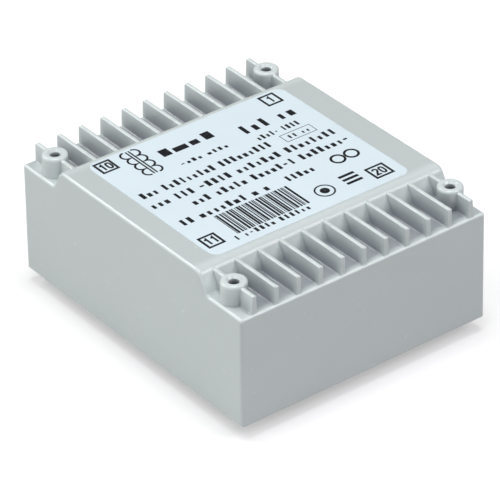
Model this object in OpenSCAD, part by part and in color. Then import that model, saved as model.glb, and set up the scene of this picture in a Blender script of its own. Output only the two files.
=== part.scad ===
// Low-profile encapsulated transformer for a printed circuit board. Millimetres.
// Two coils lie side by side on the legs of a flat core of U and I laminations. An upturned
// moulded case covers them, and resin fills it. The case is highest over the coils, and its
// low ends, over the yokes, carry cooling fins and four bosses with a hole right through.
// The origin is the middle of the case's open rim, which faces the board. X runs along the
// core's legs, and pins 1 to 10 are at the -X end. The coil at +Y holds pins 1 to 5.

/* [Case] */
// Length of the case at its open rim
case_l = 68; // [62:0.5:84]
// Width of the case at its open rim
case_w = 57; // [56:0.5:70]
// Height of the raised middle
case_h = 27; // [25:0.5:34]
// Depth of the low ends below the raised middle
end_drop = 4.2; // [3.6:0.1:5.2]
// Thickness of the side walls at the open rim
wall = 1.2; // [1:0.05:1.6]
// Thickness of the roof
roof = 1.3; // [1:0.05:1.6]
// Mould draft of the side walls, in degrees
draft = 0.6; // [0:0.1:1]
// Radius of the outer edges
edge_r = 0.65; // [0.5:0.05:1]
// Radius inside the case's upright corners
inner_r = 0.8; // [0.4:0.1:1.2]

/* [Raised middle] */
// How far the raised middle reaches past the core's window at each end
brow_over = 1.85; // [1.6:0.05:2.4]
// Angle of the end slopes above the board, in degrees
slope_angle = 60; // [50:1:70]
// Radius where the top turns down into a slope
brow_r = 2; // [1.9:0.1:2.4]
// Radius where a slope runs out into a low end
foot_r = 1; // [0.6:0.1:1.2]

/* [Fins and bosses] */
// Number of fins at each end, of which the outer two run through the bosses
fin_count = 11; // [7:2:13]
// Thickness of a fin at its top
fin_t = 0.85; // [0.6:0.05:1.1]
// Draft of a fin's sides, in degrees
fin_draft = 2; // [1:0.5:3]
// Depth of the fins' tops below the raised middle
fin_drop = 0.42; // [0.2:0.02:1]
// Distance from a fin's outer end to the wall's face
fin_setback = 0.4; // [0.2:0.05:0.8]
// Radius of a fin's top edges
fin_tip_r = 0.28; // [0.1:0.02:0.3]
// Radius of a fin's outer corners
fin_end_r = 0.4; // [0.2:0.05:0.6]
// Radius of the fillet at a fin's foot
fin_foot_r = 0.4; // [0.2:0.05:0.6]
// Diameter of a boss
boss_d = 5; // [4.4:0.1:6]
// Distance from a boss's axis to the end of the case
boss_inset_x = 6.5; // [6:0.1:8]
// Distance from a boss's axis to the side of the case
boss_inset_y = 3.5; // [3.2:0.05:4.5]
// Diameter of the hole through a boss
hole_d = 2; // [1.6:0.1:2.4]
// Depth of the countersink at a hole's mouth
sink = 0.45; // [0.2:0.05:0.6]
// Radius of a boss's top edge
boss_edge_r = 0.5; // [0.3:0.05:0.6]

/* [Core] */
// Width of a leg, which is also the width of a yoke
leg_w = 13; // [10:0.1:16]
// Thickness of a lamination
lam_t = 0.5; // [0.35:0.05:0.65]
// Number of laminations in the stack
lam_count = 20; // [14:1:22]
// Varnish between laminations
lam_gap = 0.01; // [0.01:0.01:0.03]
// Air gap where a U lamination meets its I
butt_gap = 0.03; // [0.01:0.01:0.1]
// Clearance between the core's ends and the case
core_fit = 0.3; // [0.2:0.05:0.6]

/* [Coils] */
// Thickness of a bobbin's tube
tube_t = 0.8; // [0.6:0.05:1.2]
// Thickness of a bobbin's flanges
flange_t = 1; // [0.8:0.05:1.3]
// Clearance between a bobbin and the core
leg_fit = 0.15; // [0.1:0.05:0.3]
// Gap between the two bobbins
bobbin_gap = 0.4; // [0.2:0.1:0.8]
// Gap between a bobbin's flanges and the side wall
side_gap = 1.5; // [1:0.1:2]
// Gap between the flanges and the roof
top_gap = 1; // [0.6:0.1:1.6]
// Height of the flanges' lower edges above the open rim
coil_z = 1.7; // [1.4:0.1:2.2]
// Depth of the finished coil below the flanges' edges
coil_sink = 0.3; // [0.2:0.1:0.6]
// Thickness of the insulation round a winding
tape_t = 0.3; // [0.1:0.05:0.5]
// Radius of a winding's outer corners
winding_r = 3; // [2:0.1:3.4]

/* [Pins] */
// Spacing of the pin positions along a row
pin_pitch = 5; // [4.6:0.1:5.1]
// Distance from a row of pins to the end of the case
pin_inset = 4; // [3.6:0.1:4.6]
// Diameter of a pin
pin_d = 0.8; // [0.6:0.05:1]
// Length of a pin below the open rim
pin_l = 3.2; // [2.5:0.1:4.5]
// Height of the cone at a pin's tip
pin_tip = 0.4; // [0.2:0.05:0.6]
// Diameter of a pin's thicker end, which is seated in the case
pin_seat_d = 1.2; // [1.15:0.05:1.25]
// Depth of a pin's seat in its rail
pin_seat = 4.5; // [3:0.1:5.5]
// Diameter of a lead-out wire
lead_d = 0.35; // [0.25:0.05:0.4]

/* [Resin and label] */
// Depth of the resin below the open rim
resin_sink = 0.6; // [0.3:0.1:1]
// Length of the label along X
label_l = 39.6; // [30:0.1:40]
// Width of the label along Y
label_w = 45.7; // [30:0.1:48]
// Thickness of the label
label_t = 0.12; // [0.08:0.01:0.2]
// Radius of the label's corners
label_r = 2; // [0.5:0.1:3]
// Centre of the label
label_at = [-0.2, -0.45];

/* [Hidden] */
$fn = 64;

case_grey = [0.68, 0.7, 0.7];
label_white = [0.93, 0.95, 0.96];
resin_grey = [0.16, 0.16, 0.17];
steel = [0.5, 0.51, 0.53];
bobbin_black = [0.1, 0.1, 0.11];
copper = [0.72, 0.38, 0.2];
tape_yellow = [0.9, 0.78, 0.25];
tin = [0.78, 0.78, 0.76];

// Derived lengths are rounded to a thousandth, so that faces that should be flush are flush.
function whole(v) = round(v * 1000) / 1000;

// Outer form of the case: its walls are drafted below belt_z, and stand upright above it.
deck_h = case_h - end_drop;
belt_z = deck_h - edge_r;
inset = whole(belt_z * tan(draft));
half_l = case_l / 2 - inset;
half_w = case_w / 2 - inset;

// Core, from the room inside the case.
core_l = case_l - 2 * (wall + core_fit);
window_l = core_l - 2 * leg_w;
lam_pitch = lam_t + lam_gap;
stack_h = lam_count * lam_pitch;

// Coils: a leg runs through the middle of each coil.
bobbin_w = case_w / 2 - wall - side_gap - bobbin_gap / 2;
bobbin_h = case_h - roof - top_gap - coil_z;
bobbin_l = window_l - 2 * leg_fit;
leg_y = bobbin_gap / 2 + bobbin_w / 2;
leg_z = coil_z + bobbin_h / 2;
core_w = 2 * leg_y + leg_w;
chamber_l = (bobbin_l - 3 * flange_t) / 2;
bore_w = leg_w + 2 * leg_fit;
bore_h = stack_h + 2 * leg_fit;
tube_w = bore_w + 2 * tube_t;
tube_h = bore_h + 2 * tube_t;
coil_w = bobbin_w - 2 * coil_sink;
coil_h = bobbin_h - 2 * coil_sink;

// Raised middle: where its flat top ends, and how long each slope is between its two radii.
// A round surface passes lap outside the flat ones it joins, and so crosses them cleanly.
lap = 0.004;
brow_x = window_l / 2 + brow_over;
brow_run = whole(brow_r * tan(slope_angle / 2));
foot_in = foot_r - 2 * lap;
foot_run = whole(foot_in * tan(slope_angle / 2));
flat_x = brow_x - brow_run;
slope_l = whole(end_drop / sin(slope_angle)) - brow_run - foot_run;
foot_x = brow_x + whole(end_drop / tan(slope_angle)) + foot_run;
bent_w = half_w + lap;
slope_w = half_w + 2.5 * lap;
skin_depth = 4;
tuck = 0.3;

// Fins and bosses.
boss_x = case_l / 2 - boss_inset_x;
boss_y = case_w / 2 - boss_inset_y;
boss_r = boss_d / 2;
hole_r = hole_d / 2;
fin_h = case_h - fin_drop;
fin_pitch = 2 * boss_y / (fin_count - 1);
fin_end = half_l - fin_setback;
fin_start = flat_x - brow_r / 2;
fin_sunk = edge_r / 2;
foot_share = 0.95;
fin_foot_z = deck_h + foot_share * fin_foot_r;
fin_low = deck_h - fin_sunk;
fin_root = whole(fin_t / 2 + (fin_h - fin_low) * tan(fin_draft));

// Pins: a rail at each end of a bobbin reaches under the yoke and holds them.
pin_x = case_l / 2 - pin_inset;
pin_r = pin_d / 2;
seat_r = pin_seat_d / 2;
row_count = 10;
rail_over = 1.8;
rail_end = pin_x + rail_over;
rail_top = leg_z - stack_h / 2 - leg_fit;
rail_edge = 0.4;
boss_room = 0.25;

// Leads: each lies in a slot in its rail's underside, and goes round its pin there.
slot_fit = 0.1;
slot_w = 2 * (seat_r + lead_d + slot_fit);
slot_h = 1.6;
seat_top = coil_z + slot_h + pin_seat;
lead_r = lead_d / 2;
lead_up = 1;
lead_z = coil_z + lead_up;
lead_l = pin_x - bobbin_l / 2 + flange_t;
lead_gap = 0.04;

// A boss's column is no thicker inside the case than leaves room for the lead round pin 1.
pin_1_off = norm([boss_x - pin_x, boss_y - (row_count - 1) / 2 * pin_pitch]);
column_r = min(boss_r, whole(pin_1_off - seat_r - lead_d - lead_gap));
eps = 0.01;

// Pin n of 20, counted round the case: 1 to 10 down the -X end, 11 to 20 up the +X end.
function pin_at(n) = n <= row_count
    ? [-pin_x, (row_count + 1 - 2 * n) / 2 * pin_pitch]
    : [pin_x, (2 * (n - row_count) - row_count - 1) / 2 * pin_pitch];
pins_a = [1, 4, 17, 19];
pins_b = [6, 9, 12, 14];
// Degrees by which the lead of pin n turns away from the side wall. Pin 1 is beside a boss.
function lead_turn(n) = n == 1 ? 14 : 0;

// Carries a profile drawn in Y and Z along X.
module along_x(l) { rotate([90, 0, 90]) linear_extrude(l, center = true) children(); }
// Carries a profile drawn in X and Z along Y.
module along_y(l) { rotate([90, 0, 0]) linear_extrude(l, center = true) children(); }
// Draws its children at both ends of the case.
module both_ends() { for (e = [0, 1]) mirror([e, 0, 0]) children(); }
// Draws its children at all four corners.
module four_corners() { for (s = [0, 1]) mirror([0, s, 0]) both_ends() children(); }

module rounded_rect(l, w, r) {
    square([l - 2 * r, w], center = true);
    square([l, w - 2 * r], center = true);
    for (x = [-1, 1], y = [-1, 1]) translate([x * (l / 2 - r), y * (w / 2 - r)]) circle(r);
}

// Walls up to belt_z, drafted. Each corner is a cone.
module drafted_walls() {
    along_y(2 * (half_w - edge_r)) polygon([
        [-case_l / 2, 0], [case_l / 2, 0], [half_l, belt_z], [-half_l, belt_z]]);
    along_x(2 * (half_l - edge_r)) polygon([
        [-case_w / 2, 0], [case_w / 2, 0], [half_w, belt_z], [-half_w, belt_z]]);
    four_corners() translate([half_l - edge_r, half_w - edge_r, 0])
        cylinder(r1 = edge_r + inset, r2 = edge_r, h = belt_z);
}

// Low end at +X, from the slope's foot out. Its rim is rounded on three sides.
module low_end() {
    inner_x = foot_x - tuck;
    inner_l = half_l - edge_r - inner_x;
    along_y(2 * (half_w - edge_r)) {
        translate([inner_x, belt_z - edge_r]) square([inner_l, 2 * edge_r]);
        translate([inner_x + inner_l, belt_z]) circle(edge_r);
    }
    translate([inner_x + inner_l / 2, 0, deck_h]) along_x(inner_l) crown_profile(2 * edge_r, half_w);
    for (s = [-1, 1]) translate([half_l - edge_r, s * (half_w - edge_r), belt_z])
        rotate([90, 0, s * 45]) sphere(edge_r);
}

// Cross-section of the raised middle, square to the way its surface runs. Its top is at 0.
module crown_profile(depth, w) {
    translate([-w, -depth]) square([2 * w, depth - edge_r]);
    translate([edge_r - w, -depth]) square([2 * (w - edge_r), depth]);
    for (s = [-1, 1]) translate([s * (w - edge_r), -edge_r]) circle(edge_r);
}

// Turns the rounding over the brow, where the top bends down into the slope.
module brow() {
    rotate([90, 0, 0]) rotate_extrude() {
        translate([0, edge_r - bent_w]) square([brow_r, 2 * (bent_w - edge_r)]);
        translate([0, -bent_w]) square([brow_r - edge_r, 2 * bent_w]);
        for (s = [-1, 1]) translate([brow_r - edge_r, s * (bent_w - edge_r)]) circle(edge_r);
    }
}

// Turns the rounding into the hollow at the slope's foot.
module hollow() {
    rotate([90, 0, 0]) rotate_extrude(angle = slope_angle, start = 270 - slope_angle) {
        translate([foot_r + edge_r, -bent_w]) square([skin_depth - edge_r, 2 * bent_w]);
        translate([foot_r, edge_r - bent_w]) square([skin_depth, 2 * (bent_w - edge_r)]);
        for (s = [-1, 1]) translate([foot_r + edge_r, s * (bent_w - edge_r)]) circle(edge_r);
    }
}

// Its pieces are a little wider than the case, and are trimmed flush with the walls together.
module raised_middle() {
    intersection() {
        union() {
            translate([0, 0, case_h]) along_x(2 * flat_x) crown_profile(end_drop + 2 * edge_r, bent_w);
            both_ends() {
                translate([flat_x, 0, case_h - brow_r + lap]) {
                    brow();
                    rotate([0, slope_angle, 0]) translate([(slope_l + tuck) / 2, 0, brow_r - lap])
                        along_x(slope_l + tuck) crown_profile(skin_depth, slope_w);
                }
                translate([foot_x, 0, deck_h + foot_in]) hollow();
            }
        }
        translate([-half_l, -half_w, belt_z - edge_r]) cube([2 * half_l, 2 * half_w, case_h]);
    }
}

// Solid form of the case, with its upper part cut off flat where the drafted walls end.
module outer_form() {
    drafted_walls();
    intersection() {
        union() {
            raised_middle();
            both_ends() low_end();
        }
        translate([-case_l / 2, -case_w / 2, belt_z]) cube([case_l, case_w, case_h]);
    }
}

// Cross-section of a fin, with its foot below the deck.
module fin_profile() {
    shoulder = fin_h - fin_tip_r;
    polygon([[-fin_root, fin_low], [fin_root, fin_low], [fin_t / 2, shoulder], [-fin_t / 2, shoulder]]);
    translate([fin_tip_r - fin_t / 2, fin_low]) square([fin_t - 2 * fin_tip_r, fin_h - fin_low]);
    for (s = [-1, 1]) translate([s * (fin_t / 2 - fin_tip_r), shoulder]) circle(fin_tip_r);
}

// Fillet block at a fin's foot. It meets the fin's side and the deck at a slight angle.
module fin_foot_profile() {
    reach = whole(fin_root + foot_share * fin_foot_r - (fin_foot_z - fin_low) * tan(fin_draft));
    difference() {
        translate([-reach, fin_low]) square([2 * reach, fin_foot_z - fin_low]);
        for (s = [-1, 1]) translate([s * reach, fin_foot_z]) circle(fin_foot_r);
    }
}

module fins() {
    fin_l = fin_end - fin_start;
    foot_l = half_l - edge_r - fin_start;
    intersection() {
        for (i = [0 : fin_count - 1]) translate([fin_start, (i - (fin_count - 1) / 2) * fin_pitch, 0]) {
            translate([fin_l / 2, 0, 0]) along_x(fin_l) fin_profile();
            translate([foot_l / 2, 0, 0]) along_x(foot_l) fin_foot_profile();
        }
        along_y(case_w) {
            square([fin_end, fin_h - fin_end_r]);
            square([fin_end - fin_end_r, fin_h]);
            translate([fin_end - fin_end_r, fin_h - fin_end_r]) circle(fin_end_r);
        }
    }
}

// A boss starts in the deck. Its column goes on down inside the case to the open rim.
module boss_column() {
    boss_h = end_drop + roof / 2;
    translate([boss_x, boss_y, 0]) rotate_extrude() {
        square([column_r, deck_h]);
        translate([0, case_h - boss_h]) square([boss_r, boss_h - boss_edge_r]);
        translate([0, case_h - boss_h]) square([boss_r - boss_edge_r, boss_h]);
        translate([boss_r - boss_edge_r, case_h - boss_edge_r]) circle(boss_edge_r);
    }
}

module boss_hole() {
    translate([boss_x, boss_y, -1]) cylinder(r = hole_r, h = case_h + 2);
    translate([boss_x, boss_y, case_h - sink]) cylinder(r1 = hole_r, r2 = hole_r + sink, h = sink);
}

// The room inside the case, from the height z up.
module cavity(z) {
    translate([0, 0, z]) linear_extrude(deck_h - roof - z)
        rounded_rect(case_l - 2 * wall, case_w - 2 * wall, inner_r);
    translate([0, 0, z]) linear_extrude(case_h - roof - z)
        rounded_rect(window_l + 2 * core_fit, case_w - 2 * wall, inner_r);
}

module case() {
    color(case_grey) difference() {
        union() {
            difference() {
                union() {
                    outer_form();
                    both_ends() fins();
                }
                cavity(-1);
            }
            four_corners() boss_column();
        }
        four_corners() boss_hole();
    }
}

module label() {
    color(label_white) translate([label_at[0], label_at[1], case_h])
        linear_extrude(label_t) rounded_rect(label_l, label_w, label_r);
}

// Room that a coil takes on its bobbin, for the coil at +Y.
module coil_room() {
    translate([-window_l / 2, bobbin_gap / 2, coil_z]) cube([window_l, bobbin_w, bobbin_h]);
}

// Rail at the +X end of the bobbin at +Y, which clears the boss's column.
module rail(inner, top) {
    difference() {
        translate([inner, bobbin_gap / 2 + rail_edge, coil_z])
            cube([rail_end - inner, bobbin_w - rail_edge, top - coil_z]);
        translate([boss_x, boss_y, 0]) cylinder(r = column_r + boss_room, h = case_h);
    }
}

module resin() {
    yoke_room = leg_z - stack_h / 2;
    color(resin_grey) difference() {
        cavity(resin_sink);
        for (s = [0, 1]) mirror([0, s, 0]) {
            coil_room();
            both_ends() rail(window_l / 2 - eps, yoke_room);
        }
        both_ends() translate([window_l / 2 - eps, -core_w / 2, yoke_room])
            cube([leg_w + eps, core_w, stack_h]);
        four_corners() translate([boss_x, boss_y, 0]) cylinder(r = column_r, h = case_h);
        for (n = concat(pins_a, pins_b)) translate([pin_at(n)[0], pin_at(n)[1], 0]) {
            cylinder(r = seat_r, h = coil_z + eps);
            lead_slot(n, 0);
        }
    }
}

// Height of the underside of lamination i.
function lam_z(i) = leg_z - stack_h / 2 + lam_gap / 2 + i * lam_pitch;

// Every other U is turned end for end, so that the butt joints don't lie over each other.
module u_laminations() {
    u_l = core_l - leg_w - butt_gap;
    color(steel) for (i = [0 : lam_count - 1]) mirror([i % 2, 0, 0]) translate([-core_l / 2, 0, lam_z(i)])
        difference() {
            translate([0, -core_w / 2, 0]) cube([u_l, core_w, lam_t]);
            translate([leg_w, leg_w / 2 - leg_y, -1]) cube([u_l, 2 * leg_y - leg_w, lam_t + 2]);
        }
}

module i_laminations() {
    color(steel) for (i = [0 : lam_count - 1]) mirror([i % 2, 0, 0])
        translate([core_l / 2 - leg_w, -core_w / 2, lam_z(i)]) cube([leg_w, core_w, lam_t]);
}

// Box about the leg at +Y, l long from x.
module leg_box(x, l, w, h) {
    translate([x, leg_y - w / 2, leg_z - h / 2]) cube([l, w, h]);
}

// The bobbin at +Y: a tube, three flanges for its two chambers, and a rail at each end.
module bobbin(pins) {
    color(bobbin_black) difference() {
        union() {
            leg_box(-bobbin_l / 2, bobbin_l, tube_w, tube_h);
            for (x = [-bobbin_l / 2, -flange_t / 2, bobbin_l / 2 - flange_t])
                leg_box(x, flange_t, bobbin_w, bobbin_h);
            both_ends() rail(bobbin_l / 2 - eps, rail_top);
        }
        leg_box(-bobbin_l / 2 - 1, bobbin_l + 2, bore_w, bore_h);
        for (n = pins) translate([pin_at(n)[0], abs(pin_at(n)[1]), 0]) {
            cylinder(r = seat_r, h = seat_top);
            lead_slot(n, 1);
        }
    }
}

// Slot that takes a lead from the chamber to its pin, in a rail's underside and open below it.
module lead_slot(n, below) {
    turn = lead_turn(n);
    slot_l = lead_l / cos(turn) + slot_w / 2 * (1 + tan(turn)) + eps;
    mirror([n > row_count ? 1 : 0, 0, 0]) rotate([0, 0, -turn])
        translate([-slot_w / 2, -slot_w / 2, coil_z - below]) cube([slot_l, slot_w, slot_h + below]);
}

// The winding in the chamber at the end e, wound on the bobbin's tube.
module winding(e) {
    color(copper) translate([e * (flange_t + chamber_l) / 2, leg_y, leg_z]) along_x(chamber_l)
        difference() {
            rounded_rect(coil_w - 2 * tape_t, coil_h - 2 * tape_t, winding_r);
            square([tube_w, tube_h], center = true);
        }
}

// The insulation round that winding.
module tape(e) {
    color(tape_yellow) translate([e * (flange_t + chamber_l) / 2, leg_y, leg_z]) along_x(chamber_l)
        difference() {
            rounded_rect(coil_w, coil_h, winding_r + tape_t);
            rounded_rect(coil_w - 2 * tape_t, coil_h - 2 * tape_t, winding_r);
        }
}

// Lead of pin n: out of its chamber along the rail, to the turns that are soldered on the pin.
module lead(n) {
    at = pin_at(n);
    turn = lead_turn(n);
    color(copper) translate([at[0], at[1], lead_z]) difference() {
        union() {
            rotate([0, at[0] > 0 ? -90 : 90, -turn])
                cylinder(r = lead_r, h = lead_l / cos(turn) - lead_r * tan(turn));
            translate([0, 0, -lead_d]) cylinder(r = seat_r + lead_d, h = 2 * lead_d);
        }
        translate([0, 0, -2 * lead_d]) cylinder(r = seat_r, h = 4 * lead_d);
    }
}

// Pin n: thin below the open rim, with a cone at its tip, and thicker from the rim up.
module pin(n) {
    color(tin) translate([pin_at(n)[0], pin_at(n)[1], 0]) {
        translate([0, 0, -pin_l]) cylinder(r1 = pin_r / 2, r2 = pin_r, h = pin_tip);
        translate([0, 0, pin_tip - pin_l]) cylinder(r = pin_r, h = pin_l - pin_tip);
        cylinder(r = seat_r, h = seat_top);
    }
}

case();
label();
resin();
u_laminations();
i_laminations();
bobbin(pins_a);  // bobbin_a
mirror([0, 1, 0]) bobbin(pins_b);  // bobbin_b
winding(-1);  // primary_a
mirror([0, 1, 0]) winding(-1);  // primary_b
winding(1);  // secondary_a
mirror([0, 1, 0]) winding(1);  // secondary_b
tape(-1);  // primary_tape_a
mirror([0, 1, 0]) tape(-1);  // primary_tape_b
tape(1);  // secondary_tape_a
mirror([0, 1, 0]) tape(1);  // secondary_tape_b
lead(1);  // lead_1
lead(4);  // lead_4
lead(6);  // lead_6
lead(9);  // lead_9
lead(12);  // lead_12
lead(14);  // lead_14
lead(17);  // lead_17
lead(19);  // lead_19
pin(1);  // pin_1
pin(4);  // pin_4
pin(6);  // pin_6
pin(9);  // pin_9
pin(12);  // pin_12
pin(14);  // pin_14
pin(17);  // pin_17
pin(19);  // pin_19
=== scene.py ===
import math

import bpy
import numpy as np
from bpy.props import FloatProperty, FloatVectorProperty, PointerProperty
from mathutils import Matrix, Vector


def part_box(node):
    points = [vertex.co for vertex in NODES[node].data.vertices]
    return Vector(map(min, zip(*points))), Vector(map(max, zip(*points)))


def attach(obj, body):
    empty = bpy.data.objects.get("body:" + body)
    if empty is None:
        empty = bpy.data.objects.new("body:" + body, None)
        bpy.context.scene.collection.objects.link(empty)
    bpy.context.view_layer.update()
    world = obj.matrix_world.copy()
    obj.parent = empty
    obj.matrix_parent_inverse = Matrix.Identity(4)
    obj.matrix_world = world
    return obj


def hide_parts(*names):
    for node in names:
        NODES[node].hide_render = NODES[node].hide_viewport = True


bl_info = {
    "name": "Flat Board Transformer",
    "version": (1, 0, 0),
    "blender": (4, 5, 0),
    "location": "3D View > Sidebar > Transformer",
    "description": "Finishes, label and studio for a low encapsulated transformer",
    "category": "Object",
}

MM = 0.001
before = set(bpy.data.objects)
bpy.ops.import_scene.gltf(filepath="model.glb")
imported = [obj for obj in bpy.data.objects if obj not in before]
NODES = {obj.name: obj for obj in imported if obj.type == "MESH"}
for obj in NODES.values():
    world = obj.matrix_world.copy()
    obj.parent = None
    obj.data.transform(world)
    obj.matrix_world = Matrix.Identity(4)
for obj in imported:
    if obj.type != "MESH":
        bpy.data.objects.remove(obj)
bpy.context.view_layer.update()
LABEL_LOW, LABEL_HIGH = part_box("label")
CASE_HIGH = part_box("case")[1]
PIN_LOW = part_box("pin_1")[0]
LABEL_MID_X = (LABEL_LOW.x + LABEL_HIGH.x) / 2
LABEL_MID_Y = (LABEL_LOW.y + LABEL_HIGH.y) / 2
CASE_TOP = LABEL_LOW.z

# Places on the case, in metres: the four holes' axes, radius and mouths, the raised middle's end,
# the fins' foot and top, and how far in from the walls the top rims' rounding starts and ends.
HOLE_X, HOLE_Y = 27.5 * MM, 25 * MM
HOLE_R = 1.02 * MM
HOLE_MOUTH = CASE_TOP - 0.3 * MM
BROW_X, FADE = 21.8 * MM, 1.5 * MM
FIN_FOOT, FIN_TOP = CASE_TOP - 4.2 * MM, CASE_TOP - 0.5 * MM
RIM_IN, RIM_OUT = 0.85 * MM, 0.25 * MM

# Finish of the case: share of its paler tone, a painted highlight, on the brow and beside the fins'
# tops, the tones of its edges, which are a painted highlight, and of its specks, the strength of
# specks and of the holes' painted shade, the tones of the painted shade in its recesses and holes,
# and the roughness of its coat.
BROW_HIGHLIGHT_SHARE, FIN_SIDE_HIGHLIGHT_SHARE = 0.6, 0.35
EDGE_HIGHLIGHT_TONE, SPECK_TONE = 1.45, 1.35
SPECK_SHARE, HOLE_SHADE_SHARE = 0.35, 0.8
RECESS_SHADE_TONE = (0.26, 0.255, 0.33)
HOLE_SHADE_COLOUR = (0.02, 0.02, 0.024, 1.0)
COAT_ROUGHNESS = 0.18

# The studio: half the floor's side in metres, how far it lies under the pins, its lift for the
# camera, and the tint of the light from all round.
FLOOR_HALF = 2.0
FLOOR_GAP = 0.01 * MM
FLOOR_LIFT = 0.4
WORLD_TINT = (0.92, 0.94, 1.0, 1.0)
WHITE = (1, 1, 1, 1)


# ---------------------------------------------------------------- settings


class CaseSettings(bpy.types.PropertyGroup):
    colour: FloatVectorProperty(
        name="Colour", description="Colour of the moulded case", subtype="COLOR",
        size=3, min=0, max=1, default=(0.595, 0.65, 0.645))
    roughness: FloatProperty(
        name="Roughness", description="How matt the case is", subtype="FACTOR",
        min=0, max=1, default=0.3)
    sheen: FloatProperty(
        name="Sheen", description="Weight of the gloss that shows on the edges", subtype="FACTOR",
        min=0, max=1, default=0.6)
    # Painted shade: how much the case's colour is darkened between the fins' feet.
    recess_shade: FloatProperty(
        name="Recess", description="How much darker the plastic is between the fins' feet",
        subtype="FACTOR", min=0, max=1, default=0.6)
    # Painted highlight: how much the case's colour is lightened on the rims and the tops of the
    # fins.
    edge: FloatProperty(
        name="EdgeHighlight", description="How much paler the rims and the tops of the fins are",
        subtype="FACTOR", min=0, max=1, default=0.5)
    flow: FloatProperty(
        name="Flow marks", description="Strength of the moulding's cloudy marks", subtype="FACTOR",
        min=0, max=1, default=0.5)


class LabelSettings(bpy.types.PropertyGroup):
    film: FloatVectorProperty(
        name="Film", description="Colour of the label's film", subtype="COLOR",
        size=3, min=0, max=1, default=(0.76, 0.87, 0.93))
    ink: FloatVectorProperty(
        name="Ink", description="Colour of the print", subtype="COLOR",
        size=3, min=0, max=1, default=(0.012, 0.013, 0.016))
    corner: FloatProperty(
        name="Corner", description="Radius of the label's corners", subtype="DISTANCE",
        unit="LENGTH", min=0.0005, max=0.004, default=0.002)
    film_t: FloatProperty(
        name="Film thickness", description="Thickness of the label's film", subtype="DISTANCE",
        unit="LENGTH", min=0.00005, max=0.00011, default=0.0001)
    ink_t: FloatProperty(
        name="Ink thickness", description="How far the print stands on the film",
        subtype="DISTANCE", unit="LENGTH", min=0.000005, max=0.00002, default=0.00001)


class InsideSettings(bpy.types.PropertyGroup):
    resin: FloatVectorProperty(
        name="Resin", description="Colour of the cast resin", subtype="COLOR",
        size=3, min=0, max=1, default=(0.03, 0.031, 0.034))
    pin: FloatVectorProperty(
        name="Pins", description="Colour of the tinned pins", subtype="COLOR",
        size=3, min=0, max=1, default=(0.72, 0.71, 0.68))
    copper: FloatVectorProperty(
        name="Copper", description="Colour of the enamelled wire", subtype="COLOR",
        size=3, min=0, max=1, default=(0.5, 0.17, 0.05))
    steel: FloatVectorProperty(
        name="Steel", description="Colour of the laminations", subtype="COLOR",
        size=3, min=0, max=1, default=(0.3, 0.31, 0.33))
    bobbin: FloatVectorProperty(
        name="Bobbins", description="Colour of the bobbins", subtype="COLOR",
        size=3, min=0, max=1, default=(0.03, 0.03, 0.033))
    tape: FloatVectorProperty(
        name="Tape", description="Colour of the insulating tape", subtype="COLOR",
        size=3, min=0, max=1, default=(0.78, 0.56, 0.09))


class StudioSettings(bpy.types.PropertyGroup):
    floor: FloatVectorProperty(
        name="Floor", description="Colour of the floor", subtype="COLOR",
        size=3, min=0, max=1, default=(0.72, 0.72, 0.72))
    world: FloatProperty(
        name="World", description="Strength of the light from all round", min=0, max=3,
        default=0.03)
    lamps: FloatProperty(
        name="Lamps", description="Share of each lamp's power that is used", min=0, max=3,
        default=1.0)


# ---------------------------------------------------------------- meshes


def new_piece(name, points, faces, material):
    """A mesh object from arrays of points and faces. It rides on the part's one body."""
    mesh = bpy.data.meshes.new(name)
    mesh.from_pydata(points.tolist(), [], faces.tolist() if hasattr(faces, "tolist") else faces)
    mesh.update()
    mesh.shade_flat()
    piece = bpy.data.objects.new(name, mesh)
    bpy.context.scene.collection.objects.link(piece)
    mesh.materials.append(material)
    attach(piece, "root")
    return piece


def rounded_outline(length, width, radius, steps):
    """Corner arcs of a rounded rectangle, one after the other. Each corner's centre is half the
    length and half the width out, less the radius, and its arc turns a quarter from 0 degrees."""
    turn = np.linspace(0, math.pi / 2, steps)
    start = np.arange(4)[:, None] * math.pi / 2
    angle = start + turn[None, :]
    side_x = np.array([1, -1, -1, 1])[:, None] * (length / 2 - radius)
    side_y = np.array([1, 1, -1, -1])[:, None] * (width / 2 - radius)
    corners = np.stack([side_x + radius * np.cos(angle), side_y + radius * np.sin(angle)], -1)
    return corners.reshape(-1, 2)


def sheet_surface(outline, rings, z_low, z_high, edge):
    """Closed thin sheet. Ring s runs from the middle (0) to the edge (1), where each point is s
    times the outline. Its height is z_high, and falls by edge at the last ring. The underside is
    the outline at z_low, and both sides are closed with a fan about the middle."""
    n = len(outline)
    s = np.append(np.linspace(0.15, 0.985, rings), 1.0)
    flat = s[:, None, None] * outline[None, :, :]
    z = np.full((len(s), n, 1), z_high)
    z[-1] -= edge
    top = np.concatenate([flat, z], -1).reshape(-1, 3)
    under = np.concatenate([outline, np.full((n, 1), z_low)], -1)
    points = np.concatenate([top, under, [[0, 0, z_high], [0, 0, z_low]]])
    ring = np.arange(len(s))[:, None] * n
    i = np.arange(n)[None, :]
    j = (i + 1) % n
    quads = np.stack([ring + i, ring + n + i, ring + n + j, ring + j], -1).reshape(-1, 4)
    middle = len(points) - 2
    i, j = i[0], j[0]
    last = len(s) * n
    fans = [*np.stack([np.full(n, middle), i, j], -1).tolist(),
            *np.stack([np.full(n, middle + 1), last + j, last + i], -1).tolist()]
    return points, quads.tolist() + fans


BOX_FACES = np.array([[0, 3, 2, 1], [4, 5, 6, 7], [0, 1, 5, 4], [1, 2, 6, 5], [2, 3, 7, 6],
                      [3, 0, 4, 7]])


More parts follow.
